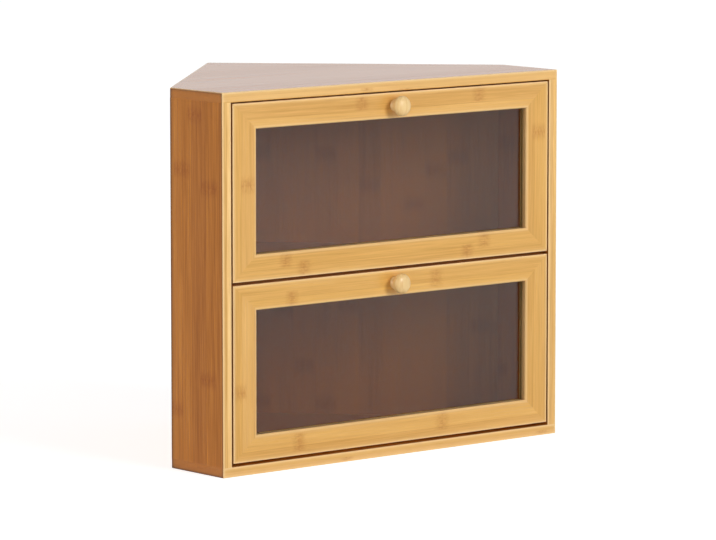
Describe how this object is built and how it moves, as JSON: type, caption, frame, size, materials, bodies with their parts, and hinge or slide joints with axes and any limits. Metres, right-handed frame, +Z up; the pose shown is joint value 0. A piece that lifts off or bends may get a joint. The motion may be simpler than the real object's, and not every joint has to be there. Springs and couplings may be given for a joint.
{
  "type": "corner bread box",
  "caption": "Corner bread box of bamboo with a pentagonal plan, a middle shelf and two drop-front window doors with round wooden knobs.",
  "frame": {"origin": "on the underside of the bottom board, at mid width and half way from the front face to the rear corner", "axes": "+X to the right as seen from the front, +Y from the doors towards the rear corner, +Z up"},
  "size_m": [0.4, 0.2901, 0.344],
  "materials": {
    "case_bamboo": "satin",
    "door_bamboo": "satin",
    "knob_wood": "satin",
    "clear_pane": "gloss",
    "dowel_wood": "matte",
    "pin_steel": "polished",
    "screw_steel": "satin",
    "magnet_nickel": "polished"
  },
  "bodies": {
    "case": {"top_board": "case_bamboo", "bottom_board": "case_bamboo", "left_side_panel": "case_bamboo", "right_side_panel": "case_bamboo", "left_back_panel": "case_bamboo", "right_back_panel": "case_bamboo", "middle_shelf": "case_bamboo", "upper_catch_block": "case_bamboo", "left_side_base_screw_front": "screw_steel", "left_side_base_screw_rear": "screw_steel", "right_side_base_screw_front": "screw_steel", "right_side_base_screw_rear": "screw_steel", "left_back_base_screw_front": "screw_steel", "left_back_base_screw_rear": "screw_steel", "right_back_base_screw_front": "screw_steel", "right_back_base_screw_rear": "screw_steel", "catch_block_screw_left": "screw_steel", "catch_block_screw_right": "screw_steel", "left_side_top_dowel_front": "dowel_wood", "left_side_top_dowel_rear": "dowel_wood", "right_side_top_dowel_front": "dowel_wood", "right_side_top_dowel_rear": "dowel_wood", "left_back_top_dowel_front": "dowel_wood", "left_back_top_dowel_rear": "dowel_wood", "right_back_top_dowel_front": "dowel_wood", "right_back_top_dowel_rear": "dowel_wood", "left_side_shelf_dowel_front": "dowel_wood", "left_side_shelf_dowel_rear": "dowel_wood", "right_side_shelf_dowel_front": "dowel_wood", "right_side_shelf_dowel_rear": "dowel_wood", "left_back_shelf_dowel": "dowel_wood", "right_back_shelf_dowel": "dowel_wood", "lower_catch_magnet": "magnet_nickel", "upper_catch_magnet": "magnet_nickel", "lower_door_left_pivot_pin": "pin_steel", "lower_door_right_pivot_pin": "pin_steel", "lower_door_left_stop_pin": "pin_steel", "lower_door_right_stop_pin": "pin_steel", "upper_door_left_pivot_pin": "pin_steel", "upper_door_right_pivot_pin": "pin_steel", "upper_door_left_stop_pin": "pin_steel", "upper_door_right_stop_pin": "pin_steel"},
    "lower_door": {"lower_door_top_rail": "door_bamboo", "lower_door_bottom_rail": "door_bamboo", "lower_door_left_stile": "door_bamboo", "lower_door_right_stile": "door_bamboo", "lower_door_pane": "clear_pane", "lower_door_knob": "knob_wood", "lower_door_knob_screw": "screw_steel", "lower_door_strike": "magnet_nickel"},
    "upper_door": {"upper_door_top_rail": "door_bamboo", "upper_door_bottom_rail": "door_bamboo", "upper_door_left_stile": "door_bamboo", "upper_door_right_stile": "door_bamboo", "upper_door_pane": "clear_pane", "upper_door_knob": "knob_wood", "upper_door_knob_screw": "screw_steel", "upper_door_strike": "magnet_nickel"}
  },
  "joints": [
    {"name": "lower_door_hinge", "type": "hinge", "parent": "case", "child": "lower_door", "pos_m": [0, -0.1333, 0.0205], "axis": [1, 0, 0], "range_deg": [0, 90]},
    {"name": "upper_door_hinge", "type": "hinge", "parent": "case", "child": "upper_door", "pos_m": [0, -0.1333, 0.1827], "axis": [1, 0, 0], "range_deg": [0, 90]}
  ]
}
